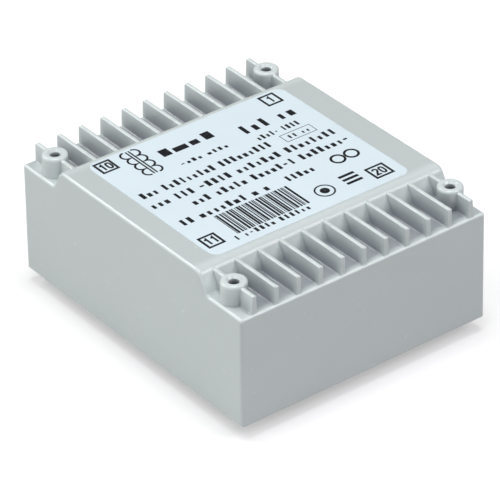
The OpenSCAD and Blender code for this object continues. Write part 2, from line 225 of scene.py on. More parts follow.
def boxes(low, high, z_low, z_high):
    """Upright blocks on rows of low and high corners in X and Y: each corner is one of the two
    ends on each axis, taken round the block."""
    x = np.stack([low[:, 0], high[:, 0], high[:, 0], low[:, 0]], -1)
    y = np.stack([low[:, 1], low[:, 1], high[:, 1], high[:, 1]], -1)
    flat = np.stack([x, y], -1)
    under = np.concatenate([flat, np.full(flat.shape[:2] + (1,), z_low)], -1)
    over = np.concatenate([flat, np.full(flat.shape[:2] + (1,), z_high)], -1)
    points = np.concatenate([under, over], 1).reshape(-1, 3)
    faces = (np.arange(len(low))[:, None, None] * 8 + BOX_FACES[None]).reshape(-1, 4)
    return points, faces


def stroke(path, width, z_low, z_high, closed=False):
    """A line of ink: each point of the path is moved half the width to its left and to its right,
    along the mean of the normals of the two pieces that meet there, over the cosine of half the
    bend. The band is closed above, below and at its sides."""
    path = np.asarray(path, float)
    nxt = np.roll(path, -1, 0) - path
    prv = path - np.roll(path, 1, 0)
    if not closed:
        nxt[-1], prv[0] = prv[-1], nxt[0]
    nxt /= np.linalg.norm(nxt, axis=1, keepdims=True)
    prv /= np.linalg.norm(prv, axis=1, keepdims=True)
    mean = nxt + prv
    mean /= np.linalg.norm(mean, axis=1, keepdims=True)
    normal = np.stack([-mean[:, 1], mean[:, 0]], -1)
    reach = width / 2 / np.clip((mean * nxt).sum(1), 0.3, 1)
    left, right = path + normal * reach[:, None], path - normal * reach[:, None]
    n = len(path)
    rows = [(right, z_low), (left, z_low), (left, z_high), (right, z_high)]
    rows = [np.concatenate([side, np.full((n, 1), z)], 1) for side, z in rows]
    points = np.stack(rows, 1).reshape(-1, 3)
    i = np.arange(n if closed else n - 1)
    j = (i + 1) % n
    k = np.arange(4)[None, :]
    m = (k + 1) % 4
    a, b = i[:, None] * 4, j[:, None] * 4
    faces = np.stack([a + k, a + m, b + m, b + k], -1).reshape(-1, 4)
    if not closed:
        caps = np.array([[3, 2, 1, 0], [0, 1, 2, 3]]) + np.array([[0], [4 * (n - 1)]])
        faces = np.concatenate([faces, caps])
    return points, faces


def joined(parts):
    """One mesh from several: each one's faces are counted on from the points before it."""
    starts = np.cumsum([0] + [len(p) for p, _ in parts[:-1]])
    points = np.concatenate([p for p, _ in parts])
    faces = np.concatenate([f + s for (_, f), s in zip(parts, starts)])
    return points, faces


# ---------------------------------------------------------------- materials


def node_group(name, inputs, outputs, build):
    """A shared shader effect with named sockets, made once."""
    if name in bpy.data.node_groups:
        return bpy.data.node_groups[name]
    group = bpy.data.node_groups.new(name, "ShaderNodeTree")
    for label, kind, default in inputs:
        socket = group.interface.new_socket(label, in_out="INPUT", socket_type=kind)
        if default is not None:
            socket.default_value = default
    for label, kind in outputs:
        group.interface.new_socket(label, in_out="OUTPUT", socket_type=kind)
    start = group.nodes.new("NodeGroupInput")
    end = group.nodes.new("NodeGroupOutput")
    build(group, start, end)
    return group


def noise(tree, vector, scale, detail=3.0, rough=0.5, stretch=None):
    """Noise on object coordinates, drawn out along an axis if stretch is given."""
    node = tree.nodes.new("ShaderNodeTexNoise")
    node.inputs["Scale"].default_value = scale
    node.inputs["Detail"].default_value = detail
    node.inputs["Roughness"].default_value = rough
    if stretch:
        mapping = tree.nodes.new("ShaderNodeMapping")
        mapping.inputs["Scale"].default_value = stretch
        tree.links.new(vector, mapping.inputs["Vector"])
        vector = mapping.outputs["Vector"]
    tree.links.new(vector, node.inputs["Vector"])
    return node.outputs["Fac"]


def ramp(tree, value, low, high, out_low=0.0, out_high=1.0):
    """Value mapped from low..high to out_low..out_high, and held at the ends."""
    node = tree.nodes.new("ShaderNodeMapRange")
    node.inputs["From Min"].default_value = low
    node.inputs["From Max"].default_value = high
    node.inputs["To Min"].default_value = out_low
    node.inputs["To Max"].default_value = out_high
    tree.links.new(value, node.inputs["Value"])
    return node.outputs["Result"]


def math_node(tree, operation, a, b):
    """A math node on two inputs, each a socket or a number."""
    node = tree.nodes.new("ShaderNodeMath")
    node.operation = operation
    for socket, value in zip(node.inputs, (a, b)):
        if isinstance(value, (int, float)):
            socket.default_value = value
        else:
            tree.links.new(value, socket)
    return node.outputs[0]


def times(tree, *factors):
    """Product of two or more sockets and numbers."""
    total = factors[0]
    for factor in factors[1:]:
        total = math_node(tree, "MULTIPLY", total, factor)
    return total


def mirrored_axes(tree, start):
    """Distance from the middle along X and along Y, and the height."""
    axes = tree.nodes.new("ShaderNodeSeparateXYZ")
    tree.links.new(start.outputs["Vector"], axes.inputs[0])
    x, y = (math_node(tree, "ABSOLUTE", axes.outputs[i], 0.0) for i in "XY")
    return x, y, axes.outputs["Z"]


def mix_colour(tree, factor, a, b):
    """From colour a to colour b by a factor from 0 to 1. Each is a socket or a colour."""
    node = tree.nodes.new("ShaderNodeMix")
    node.data_type = "RGBA"
    sockets = [s for s in node.inputs if s.type == "RGBA"]
    tree.links.new(factor, node.inputs["Factor"])
    for socket, value in zip(sockets, (a, b)):
        if hasattr(value, "is_output"):
            tree.links.new(value, socket)
        else:
            socket.default_value = value
    return next(s for s in node.outputs if s.type == "RGBA")


def build_flow(tree, start, end):
    """Cloudy marks where the plastic flowed: wide noise bent by slower noise, and fine streaks
    across it. Specks are where fine noise is near its top."""
    vector = start.outputs["Vector"]
    cloud = noise(tree, vector, 45, 2, 0.5)
    streak = noise(tree, vector, 110, 3, 0.5, (0.5, 0.5, 1.4))
    both = math_node(tree, "ADD", times(tree, cloud, 0.6), times(tree, streak, 0.4))
    tree.links.new(ramp(tree, both, 0.2, 0.8), end.inputs["Flow"])
    speck = noise(tree, vector, 900, 1, 0.5)
    tree.links.new(ramp(tree, speck, 0.73, 0.79), end.inputs["Specks"])


def flow_group():
    return node_group(
        "moulding_flow", [("Vector", "NodeSocketVector", None)],
        [("Flow", "NodeSocketFloat"), ("Specks", "NodeSocketFloat")], build_flow)


def build_recess_shade(tree, start, end):
    """How deep a place is in the case's recesses, as masks for painted shade. Between the fins it
    is 1 at the deck and 0 at the fins' tops, and it fades towards the rims. In the holes, within
    their radius of the four axes, it is 1 below the mouth."""
    x, y, z = mirrored_axes(tree, start)
    deep = math_node(tree, "POWER", ramp(tree, z, FIN_TOP, FIN_FOOT), 1.5)
    deep = times(tree, deep, ramp(tree, x, BROW_X, BROW_X + FADE),
                 ramp(tree, x, CASE_HIGH.x - 0.7 * MM, CASE_HIGH.x - 2 * MM),
                 ramp(tree, y, HOLE_Y + 1.2 * MM, HOLE_Y))
    tree.links.new(deep, end.inputs["Depth"])
    out_x = math_node(tree, "POWER", math_node(tree, "SUBTRACT", x, HOLE_X), 2.0)
    out_y = math_node(tree, "POWER", math_node(tree, "SUBTRACT", y, HOLE_Y), 2.0)
    reach = math_node(tree, "SQRT", math_node(tree, "ADD", out_x, out_y), 0.0)
    inside = times(tree, ramp(tree, reach, HOLE_R + 0.13 * MM, HOLE_R),
                   ramp(tree, z, HOLE_MOUTH, HOLE_MOUTH - 1.2 * MM))
    tree.links.new(inside, end.inputs["HoleShade"])


def recess_shade_group():
    return node_group(
        "case_recess_shade", [("Vector", "NodeSocketVector", None)],
        [("Depth", "NodeSocketFloat"), ("HoleShade", "NodeSocketFloat")], build_recess_shade)


def build_edge_highlights(tree, start, end):
    """Masks for painted highlight on the case. The edge mask is 1 along the top rims' roundings,
    read from how near a place is to the walls, and on the tops of the fins and bosses, and fades
    down their sides. Brow is 1 on the bend and slope at both ends of the middle, clear of the long
    walls, where the edge mask is at least the brow's highlight share."""
    x, y, z = mirrored_axes(tree, start)
    ends, sides = (
        times(tree, ramp(tree, far, wall - RIM_IN, wall - RIM_IN + 0.2 * MM),
              ramp(tree, far, wall - RIM_OUT, wall - RIM_OUT - 0.13 * MM))
        for far, wall in ((x, CASE_HIGH.x), (y, CASE_HIGH.y)))
    ends = times(tree, ends, ramp(tree, z, FIN_FOOT + 0.3 * MM, FIN_FOOT + 0.1 * MM))
    rims = times(tree, math_node(tree, "MAXIMUM", ends, sides),
                 ramp(tree, z, FIN_FOOT - 0.7 * MM, FIN_FOOT - 0.5 * MM))
    # Painted highlight: the fins' sides are made paler towards their tops.
    beside = ramp(tree, z, FIN_TOP - 2 * MM, FIN_TOP - 0.35 * MM, 0, FIN_SIDE_HIGHLIGHT_SHARE)
    tops = ramp(tree, z, FIN_TOP - 0.35 * MM, FIN_TOP - 0.1 * MM)
    tops = times(tree, math_node(tree, "MAXIMUM", beside, tops),
                 ramp(tree, x, BROW_X + FADE, BROW_X + 2 * FADE))
    brow = times(tree, ramp(tree, x, BROW_X - 2 * FADE, BROW_X - FADE),
                 ramp(tree, x, BROW_X + 2 * FADE, BROW_X + FADE),
                 ramp(tree, y, CASE_HIGH.y - 0.35 * MM, CASE_HIGH.y - 0.9 * MM),
                 ramp(tree, z, FIN_FOOT - 0.4 * MM, FIN_FOOT - 0.1 * MM))
    tree.links.new(brow, end.inputs["Brow"])
    # Painted highlight: the palest of the rims, the tops and a share of the brow.
    painted_highlight = math_node(tree, "MAXIMUM", math_node(tree, "MAXIMUM", rims, tops),
                     times(tree, brow, BROW_HIGHLIGHT_SHARE))
    tree.links.new(painted_highlight, end.inputs["EdgeHighlight"])


def edge_highlight_group():
    return node_group("case_edge_highlights", [("Vector", "NodeSocketVector", None)],
                      [("EdgeHighlight", "NodeSocketFloat"), ("Brow", "NodeSocketFloat")], build_edge_highlights)


def build_grain(tree, start, end):
    """Fine unevenness of a surface: two noises, the finer at a third of the height."""
    vector = start.outputs["Vector"]
    scaled = tree.nodes.new("ShaderNodeVectorMath")
    scaled.operation = "SCALE"
    tree.links.new(vector, scaled.inputs[0])
    tree.links.new(start.outputs["Scale"], scaled.inputs["Scale"])
    coarse = noise(tree, scaled.outputs[0], 1.0, 3, 0.55)
    fine = noise(tree, scaled.outputs[0], 5.0, 2, 0.5)
    height = math_node(tree, "ADD", times(tree, coarse, 0.75), times(tree, fine, 0.25))
    tree.links.new(height, end.inputs["Height"])


def grain_group():
    return node_group(
        "surface_grain",
        [("Vector", "NodeSocketVector", None), ("Scale", "NodeSocketFloat", 400.0)],
        [("Height", "NodeSocketFloat")], build_grain)


def new_material(name, roughness, metallic=0.0, specular=0.5):
    """A material with its Principled shader, and object coordinates to build on."""
    material = bpy.data.materials.new(name)
    material.use_nodes = True
    tree = material.node_tree
    shader = tree.nodes["Principled BSDF"]
    shader.inputs["Roughness"].default_value = roughness
    shader.inputs["Metallic"].default_value = metallic
    shader.inputs["Specular IOR Level"].default_value = specular
    place = tree.nodes.new("ShaderNodeTexCoord").outputs["Object"]
    return material, tree, shader, place


def place_group(tree, group, vector, **values):
    """A node group on a vector, with its other inputs set by name."""
    node = tree.nodes.new("ShaderNodeGroup")
    node.node_tree = group
    tree.links.new(vector, node.inputs["Vector"])
    for name, value in values.items():
        node.inputs[name].default_value = value
    return node


def add_bump(tree, shader, height, strength, distance):
    """Relief on a shader from a height of 0 to 1, up to the distance in metres."""
    bump = tree.nodes.new("ShaderNodeBump")
    bump.inputs["Strength"].default_value = strength
    bump.inputs["Distance"].default_value = distance
    tree.links.new(height, bump.inputs["Height"])
    tree.links.new(bump.outputs["Normal"], shader.inputs["Normal"])


def shade(colour, factor):
    """A colour made lighter or darker by a factor, up to 1 per channel, and opaque."""
    return tuple(min(1.0, c * factor) for c in colour) + (1.0,)


def set_finish(node, material):
    """The node keeps its mesh, and each of its object's material slots gets this material."""
    slots = NODES[node].material_slots
    if not slots:
        raise RuntimeError("no material slot on " + node)
    for slot in slots:
        slot.material = material


def nodes_named(*starts):
    """Names of the CAD nodes that start with any of these, in order."""
    return sorted(n for n in NODES if n.startswith(starts))


def case_material(p):
    """Satin moulded plastic: clouds and specks, painted highlight on the edges, painted shade in
    the recesses and holes, and a thin coat.
    """
    material, tree, shader, place = new_material("case_plastic_finish", p.roughness)
    flow = place_group(tree, flow_group(), place)
    swing = 0.05 * p.flow
    tone = mix_colour(tree, flow.outputs["Flow"], shade(p.colour, 1 - swing),
                      shade(p.colour, 1 + swing))
    tone = mix_colour(tree, times(tree, flow.outputs["Specks"], SPECK_SHARE), tone,
                      shade(p.colour, SPECK_TONE))
    # Painted highlight: the rims, the tops of the fins and bosses, the fins' upper sides and the
    # brow are lightened.
    edges = place_group(tree, edge_highlight_group(), place)
    tone = mix_colour(tree, times(tree, edges.outputs["EdgeHighlight"], p.edge), tone,
                      shade(p.colour, EDGE_HIGHLIGHT_TONE))
    # Painted shade: the colour darkens towards the deck between the fins' feet, with a blue-grey
    # tint.
    recess_shade = place_group(tree, recess_shade_group(), place)
    tone = mix_colour(tree, times(tree, recess_shade.outputs["Depth"], p.recess_shade), tone,
                      tuple(c * share for c, share in zip(p.colour, RECESS_SHADE_TONE)) + (1.0,))
    # Painted shade: the holes are darkened nearly to black below their mouths.
    tone = mix_colour(tree, times(tree, recess_shade.outputs["HoleShade"], HOLE_SHADE_SHARE), tone, HOLE_SHADE_COLOUR)
    tree.links.new(tone, shader.inputs["Base Color"])
    tree.links.new(ramp(tree, flow.outputs["Flow"], 0, 1, p.roughness - 0.04, p.roughness + 0.04),
                   shader.inputs["Roughness"])
    tree.links.new(ramp(tree, edges.outputs["Brow"], 0, 1, p.sheen, 0.5 * p.sheen),
                   shader.inputs["Coat Weight"])
    shader.inputs["Coat Roughness"].default_value = COAT_ROUGHNESS
    grain = place_group(tree, grain_group(), place, Scale=900.0)
    add_bump(tree, shader, grain.outputs["Height"], 0.35, 0.00004)
    return material


def film_material(p):
    """Printed film: near white, with faint clouds."""
    material, tree, shader, place = new_material("label_film_finish", 0.38, specular=0.45)
    cloud = ramp(tree, noise(tree, place, 90, 3), 0.35, 0.65)
    tree.links.new(mix_colour(tree, cloud, shade(p.film, 0.985), shade(p.film, 1.01)),
                   shader.inputs["Base Color"])
    tree.links.new(ramp(tree, noise(tree, place, 500, 2), 0.3, 0.7, 0.33, 0.43),
                   shader.inputs["Roughness"])
    grain = place_group(tree, grain_group(), place, Scale=350.0)
    add_bump(tree, shader, grain.outputs["Height"], 0.12, 0.00003)
    return material


def ink_material(p):
    """Dark ink, a little paler where it is thin."""
    material, tree, shader, place = new_material("label_ink_finish", 0.5, specular=0.3)
    wear = ramp(tree, noise(tree, place, 1500, 3), 0.55, 0.8)
    worn = tuple(c + 0.03 for c in p.ink) + (1.0,)
    tree.links.new(mix_colour(tree, wear, shade(p.ink, 1.0), worn), shader.inputs["Base Color"])
    tree.links.new(ramp(tree, noise(tree, place, 700, 2), 0.3, 0.7, 0.42, 0.58),
                   shader.inputs["Roughness"])
    return material


def resin_material(p):
    """Poured resin: dark and smooth, with soft clouds."""
    material, tree, shader, place = new_material("potting_resin_finish", 0.25)
    cloud = ramp(tree, noise(tree, place, 70, 4), 0.35, 0.65)
    tree.links.new(mix_colour(tree, cloud, shade(p.resin, 0.8), shade(p.resin, 1.3)),
                   shader.inputs["Base Color"])
    tree.links.new(ramp(tree, noise(tree, place, 160, 3), 0.3, 0.7, 0.18, 0.4),
                   shader.inputs["Roughness"])
    grain = place_group(tree, grain_group(), place, Scale=90.0)
    add_bump(tree, shader, grain.outputs["Height"], 0.4, 0.0003)
    return material


def metal_material(name, colour, roughness, scale, stretch):
    """Drawn or rolled metal: fine marks along the way that it was worked, and duller patches."""
    material, tree, shader, place = new_material(name, roughness, 1.0)
    marks = noise(tree, place, scale, 4, 0.6, stretch)
    dull = ramp(tree, noise(tree, place, scale * 0.2, 3), 0.4, 0.7)
    tree.links.new(mix_colour(tree, dull, shade(colour, 1.0), shade(colour, 0.8)),
                   shader.inputs["Base Color"])
    tree.links.new(ramp(tree, marks, 0.3, 0.7, roughness - 0.08, roughness + 0.12),
                   shader.inputs["Roughness"])
    add_bump(tree, shader, marks, 0.2, 0.00002)
    return material


def bobbin_material(p):
    """Moulded bobbin plastic, with the case's kind of clouds."""
    material, tree, shader, place = new_material("bobbin_plastic_finish", 0.5)
    flow = place_group(tree, flow_group(), place)
    tone = mix_colour(tree, flow.outputs["Flow"], shade(p.bobbin, 0.85), shade(p.bobbin, 1.25))
    tree.links.new(tone, shader.inputs["Base Color"])
    grain = place_group(tree, grain_group(), place, Scale=700.0)
    add_bump(tree, shader, grain.outputs["Height"], 0.3, 0.00005)
    return material


def winding_material(p):
    """Turns of enamelled wire, side by side along the coil: bands across X, one per turn, with
    painted shade in the grooves between them.
    """
    material, tree, shader, place = new_material("copper_wire_finish", 0.28, 0.9)
    turns = tree.nodes.new("ShaderNodeTexWave")
    turns.bands_direction = "X"
    turns.wave_profile = "SIN"
    turns.inputs["Scale"].default_value = 500.0
    turns.inputs["Distortion"].default_value = 0.0
    tree.links.new(place, turns.inputs["Vector"])
    # Painted shade: the copper's tone falls to about a third in the grooves between turns.
    tone = mix_colour(tree, turns.outputs["Fac"], shade(p.copper, 0.35), shade(p.copper, 1.1))
    tree.links.new(tone, shader.inputs["Base Color"])
    add_bump(tree, shader, turns.outputs["Fac"], 0.6, 0.0001)
    return material


def tape_material(p):
    """Lapped tape: faint bands across X where each turn covers the one before."""
    material, tree, shader, place = new_material("winding_tape_finish", 0.3)
    laps = tree.nodes.new("ShaderNodeTexWave")
    laps.bands_direction = "X"
    laps.wave_profile = "SAW"
    laps.inputs["Scale"].default_value = 40.0
    laps.inputs["Distortion"].default_value = 0.4
    tree.links.new(place, laps.inputs["Vector"])
    tree.links.new(mix_colour(tree, laps.outputs["Fac"], shade(p.tape, 0.85), shade(p.tape, 1.1)),
                   shader.inputs["Base Color"])
    add_bump(tree, shader, laps.outputs["Fac"], 0.3, 0.0001)
    return material


# ---------------------------------------------------------------- label print
# Places on the label are in millimetres in the part's own X and Y. Lines of print run along +Y,
# and each line's top is towards -X.

BOX_W = 0.5
NUMBER_W = 0.42
NUMBER_H = 2.1
NUMBER_PITCH = 1.4

# Boxed pin numbers: the box's low and high corner, and the digits.
PIN_BOXES = [
    ((-19.3, 16.3), (-15.4, 20.0), "1"),
    ((-19.3, -22.4), (-15.4, -18.6), "10"),
    ((13.0, -22.4), (17.0, -18.6), "11"),
    ((13.6, 15.8), (17.7, 20.1), "20"),
]

# Rows of blocks where words would be: X of the row's top and foot, Y of its two ends, the share
# of a cell that its block fills, and how many cells each of its words has.
ROWS = [
    (-15.7, -13.2, -10.7, 2.4, 0.78, (4,)),
    (-9.8, -8.6, -9.5, 1.8, 0.5, (4, 4)),
    (-13.1, -10.1, 6.2, 19.3, 0.5, (3, 2)),
    (-8.3, -6.7, 7.1, 17.2, 0.46, (5, 4)),
    (-4.9, -3.7, 12.0, 17.3, 0.46, (2, 2)),
    (-5.7, -3.7, -22.0, 8.2, 0.5, (3, 9, 9)),
    (-1.8, 0.2, -22.6, 20.5, 0.5, (3, 3, 5, 7, 8)),
    (1.8, 3.8, -15.9, 20.8, 0.5, (3, 5, 7, 8)),
    (6.1, 8.1, -21.7, -1.3, 0.56, (2, 7, 1, 1)),
    (6.3, 8.1, 2.4, 9.2, 0.5, (5,)),
    (16.5, 17.9, -17.0, 0.4, 0.45, (1, 6, 6)),
]

# The striped block: X of its top and foot, Y of its two ends, and how many bars it has.
STRIPES = (8.9, 16.2, -15.4, 1.2)
STRIPE_COUNT = 30

# Steps between two words, how far the ink's foot lies inside the film, and the rows' blocks: the
# generator's seed, how often a block is tall, low or a dash, and how far, as shares of the row's
# height, its top and its foot then lie inside the row.
WORD_GAP = 0.7
INK_SUNK = 0.004
ROW_SEED = 11
KIND_SHARES = (0.42, 0.48, 0.1)
KIND_TOPS, KIND_FEET = (0, 0.36, 0.42), (0, 0, 0.34)


def digit_paths(digit):
    """Strokes of a digit in a cell one wide and two high: 0 is a closed round, 1 a bar with a
    short flag, and 2 an arc that runs down to a foot."""
    t = np.linspace(0, 2 * math.pi, 25)[:-1]
    if digit == "0":
        power = 0.75
        x = 0.5 + 0.42 * np.sign(np.cos(t)) * np.abs(np.cos(t)) ** power
        y = 1.0 + 0.92 * np.sign(np.sin(t)) * np.abs(np.sin(t)) ** power
        return [(np.stack([x, y], -1), True)]
    if digit == "1":
        return [(np.array([[0.18, 1.5], [0.62, 1.92], [0.62, 0.0]]), False)]
    arc = np.linspace(math.pi * 0.95, -math.pi * 0.22, 14)
    top = np.stack([0.5 + 0.42 * np.cos(arc), 1.47 + 0.45 * np.sin(arc)], -1)
    return [(np.concatenate([top, [[0.08, 0.08], [0.95, 0.08]]]), False)]


def on_label(path, x_foot, y_left):
    """From a digit's cell, two high, to X and Y on the label: along the line is +Y, up is -X."""
    size = NUMBER_H / 2
    return np.stack([x_foot - path[:, 1] * size, y_left + path[:, 0] * size], -1)


def print_levels(p):
    """The foot and top of the ink, in millimetres: its foot is just inside the film."""
    top = (CASE_TOP + p.film_t) / MM
    return top - INK_SUNK, top + p.ink_t / MM


def number_parts(p):
    """Boxed numbers. The outline runs half its own width inside the box, and the digits stand in
    its middle, one NUMBER_PITCH apart along the line."""
    low, high = print_levels(p)
    parts = []
    for (x0, y0), (x1, y1), text in PIN_BOXES:
        corners = np.array([[x0, y0], [x1, y0], [x1, y1], [x0, y1]]) + BOX_W / 2 * np.array(
            [[1, 1], [-1, 1], [-1, -1], [1, -1]])
        parts.append(stroke(corners, BOX_W, low, high, True))
        left = (y0 + y1) / 2 - (len(text) - 1) * NUMBER_PITCH / 2 - NUMBER_H / 4
        for i, digit in enumerate(text):
            for path, closed in digit_paths(digit):
                at = on_label(path, (x0 + x1 + NUMBER_H) / 2, left + i * NUMBER_PITCH)
                parts.append(stroke(at, NUMBER_W, low, high, closed))
    return parts


def row_parts(p):
    """Solid blocks in cells. Each cell takes one step along the row, and each gap between words
    WORD_GAP steps. A seeded generator makes a block tall, low, or short like a dash, and varies
    its width."""
    low, high = print_levels(p)
    rng = np.random.default_rng(ROW_SEED)
    corners = []
    for x_top, x_foot, y0, y1, share, words in ROWS:
        word = np.repeat(np.arange(len(words)), words)
        place = np.arange(len(word)) + 0.5 + WORD_GAP * word
        step = (y1 - y0) / (place[-1] + 0.5)
        h = x_foot - x_top
        kind = rng.choice(3, len(word), p=KIND_SHARES)
        top = x_top + h * np.array(KIND_TOPS)[kind]
        foot = x_foot - h * np.array(KIND_FEET)[kind]
        half = share * step / 2 * rng.uniform(0.7, 1.25, len(word))
        middle = y0 + place * step
        corners.append(np.stack([top, middle - half, foot, middle + half], -1))
    cells = np.concatenate(corners)
    return [boxes(cells[:, :2], cells[:, 2:], low, high)]


def frame_parts(p):
    """One thin rectangle, round the row that stands inside it."""
    low, high = print_levels(p)
    corners = np.array([[-5.6, 11.1], [-3.0, 11.1], [-3.0, 18.1], [-5.6, 18.1]])
    return [stroke(corners, 0.14, low, high, True)]


def stripe_parts(p):
    """A block of upright bars whose widths repeat a plain rising and falling count."""
    low, high = print_levels(p)
    x0, x1, y0, y1 = STRIPES
    step = np.arange(STRIPE_COUNT)
    width = 1.4 + (step * 7) % 4
    gap = 1 + (step * 5) % 3
    ends = np.cumsum(width + gap)
    scale = (y1 - y0) / (ends[-1] - gap[-1])
    right = (ends - gap) * scale + y0
    left = right - width * scale
    low_corners = np.stack([np.full(STRIPE_COUNT, x0), left], -1)
    high_corners = np.stack([np.full(STRIPE_COUNT, x1), right], -1)
    return [boxes(low_corners, high_corners, low, high)]


def coil_parts(p):
    """A plain sign for two coils beside a core: four half rounds on each side, and two bars."""
    low, high = print_levels(p)
    mid, x0, x1 = -14.5, -19.2, -9.8
    t = np.linspace(0, math.pi, 10)
    loops = 4
    size = (x1 - x0) / loops / 2
    centre = x0 + size * (2 * np.arange(loops) + 1)
    parts = []
    for side in (-1, 1):
        x = (centre[:, None] - size * np.cos(t)[None, :]).reshape(-1)
        y = np.tile(mid + side * (0.85 + size * np.sin(t)), loops)
        keep = np.append(True, np.hypot(np.diff(x), np.diff(y)) > 1e-6)
        parts.append(stroke(np.stack([x, y], -1)[keep], 0.42, low, high))
        bar = mid + side * 0.32
        parts.append(stroke(np.array([[x0, bar], [x1, bar]]), 0.34, low, high))
    return parts


def ring_path(x, y, radius, steps=32):
    """Points round a circle, in equal steps of angle."""
    t = np.linspace(0, 2 * math.pi, steps + 1)[:-1]
    return np.stack([x + radius * np.cos(t), y + radius * np.sin(t)], -1)


def sign_parts(p):
    """Three plain signs: two rings side by side, a disc in a ring, and three short bars."""
    low, high = print_levels(p)
    parts = [stroke(ring_path(7.6, 14.6, 1.35), 0.5, low, high, True),
             stroke(ring_path(7.6, 17.8, 1.35), 0.5, low, high, True),
             stroke(ring_path(14.7, 5.8, 1.9), 0.34, low, high, True),
             stroke(ring_path(14.7, 5.8, 0.5), 0.9, low, high, True)]
    bars = np.array([[12.6, 10.4], [13.9, 10.4], [15.2, 10.4]])
    parts.append(boxes(bars, bars + np.array([0.7, 3.6]), low, high))
    return parts


# ---------------------------------------------------------------- operators


def settings(context, name):
    """The property group that the add-on keeps on the scene under this name."""
    return getattr(context.scene, "transformer_" + name)


class TRANSFORMER_OT_case(bpy.types.Operator):
    """Give the moulded case its satin grey finish"""
    bl_idname = "transformer.case"
    bl_label = "Case"

    def execute(self, context):
        set_finish("case", case_material(settings(context, "case")))
        return {"FINISHED"}


class TRANSFORMER_OT_resin(bpy.types.Operator):
    """Give the cast resin its finish"""
    bl_idname = "transformer.resin"
    bl_label = "Resin"

    def execute(self, context):
        set_finish("resin", resin_material(settings(context, "inside")))
        return {"FINISHED"}


class TRANSFORMER_OT_core(bpy.types.Operator):
    """Give the laminations a rolled steel finish"""
    bl_idname = "transformer.core"
    bl_label = "Core"

    def execute(self, context):
        p = settings(context, "inside")
        material = metal_material("core_steel_finish", p.steel, 0.4, 900, (1.0, 0.1, 4.0))
        for node in ("u_laminations", "i_laminations"):
            set_finish(node, material)
        return {"FINISHED"}


class TRANSFORMER_OT_coils(bpy.types.Operator):
    """Give the bobbins, windings, tapes and leads their finishes"""
    bl_idname = "transformer.coils"
    bl_label = "Coils"

    def execute(self, context):
        p = settings(context, "inside")
        bobbin, wire, tape = bobbin_material(p), winding_material(p), tape_material(p)
        for node in nodes_named("bobbin"):
            set_finish(node, bobbin)
        for node in nodes_named("primary", "secondary", "lead"):
            set_finish(node, tape if "tape" in node else wire)
        return {"FINISHED"}


class TRANSFORMER_OT_pins(bpy.types.Operator):
    """Give the pins a tinned finish, drawn along their length"""
    bl_idname = "transformer.pins"
    bl_label = "Pins"

    def execute(self, context):
        p = settings(context, "inside")
        material = metal_material("pin_metal_finish", p.pin, 0.24, 2500, (1.0, 1.0, 0.08))
        for node in nodes_named("pin"):
            set_finish(node, material)
        return {"FINISHED"}


class TRANSFORMER_OT_film(bpy.types.Operator):
    """Make the label's film, which stands for the plain label solid"""
    bl_idname = "transformer.film"
    bl_label = "Label film"

    def execute(self, context):
        p = settings(context, "label")
        length, width = LABEL_HIGH.x - LABEL_LOW.x, LABEL_HIGH.y - LABEL_LOW.y
        outline = rounded_outline(length, width, p.corner, 13)
        points, faces = sheet_surface(outline, 12, CASE_TOP, CASE_TOP + p.film_t, p.film_t / 4)
        points += np.array([LABEL_MID_X, LABEL_MID_Y, 0])
        material = film_material(p)
        film = new_piece("label_film", points, faces, material)
        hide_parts("label")
        set_finish("label", material)
        return {"FINISHED"}


class TRANSFORMER_OT_print(bpy.types.Operator):
    """Print the boxed pin numbers, lines of blocks, stripes and plain signs on the label"""
    bl_idname = "transformer.print"
    bl_label = "Label print"

    def execute(self, context):
        p = settings(context, "label")
        ink = ink_material(p)
        groups = {
            "print_numbers": number_parts, "print_rows": row_parts, "print_frame": frame_parts,
            "print_stripes": stripe_parts, "print_coils": coil_parts, "print_signs": sign_parts}
        for name, make in groups.items():
            points, faces = joined(make(p))
            new_piece(name, points * MM, faces, ink)
        return {"FINISHED"}


def area_lamp(name, place, size, power, colour):
    lamp = bpy.data.lights.new(name, "AREA")
    lamp.shape = "RECTANGLE"
    lamp.size, lamp.size_y = size
    lamp.energy = power
    lamp.color = colour
    holder = bpy.data.objects.new(name, lamp)
    holder.location = place
    holder.rotation_euler = (-Vector(place)).to_track_quat("-Z", "Y").to_euler()
    bpy.context.scene.collection.objects.link(holder)


def studio_world(p):
    """Soft light from all round, and plain white to the camera."""
    world = bpy.data.worlds.new("studio_world")
    bpy.context.scene.world = world
    world.use_nodes = True
    tree = world.node_tree
    lit = tree.nodes["Background"]
    lit.inputs["Color"].default_value = WORLD_TINT
    lit.inputs["Strength"].default_value = p.world
    white = tree.nodes.new("ShaderNodeBackground")
    white.inputs["Color"].default_value = WHITE
    white.inputs["Strength"].default_value = 1.0
    mix = tree.nodes.new("ShaderNodeMixShader")
    seen = tree.nodes.new("ShaderNodeLightPath").outputs["Is Camera Ray"]
    tree.links.new(seen, mix.inputs["Fac"])
    tree.links.new(lit.outputs[0], mix.inputs[1])
    tree.links.new(white.outputs[0], mix.inputs[2])
    tree.links.new(mix.outputs[0], tree.nodes["World Output"].inputs["Surface"])


def floor_material(p):
    """Matt pale floor. What the camera sees is lifted a little, so that it is white out of the
    shadow."""
    material, tree, shader = new_material("floor_finish", 0.9, specular=0.1)[:3]
    shader.inputs["Base Color"].default_value = shade(p.floor, 1.0)
    glow = tree.nodes.new("ShaderNodeEmission")
    glow.inputs["Color"].default_value = WHITE
    seen = tree.nodes.new("ShaderNodeLightPath").outputs["Is Camera Ray"]
    tree.links.new(times(tree, seen, FLOOR_LIFT), glow.inputs["Strength"])
    add = tree.nodes.new("ShaderNodeAddShader")
    tree.links.new(shader.outputs[0], add.inputs[0])
    tree.links.new(glow.outputs[0], add.inputs[1])
    tree.links.new(add.outputs[0], tree.nodes["Material Output"].inputs["Surface"])
    return material


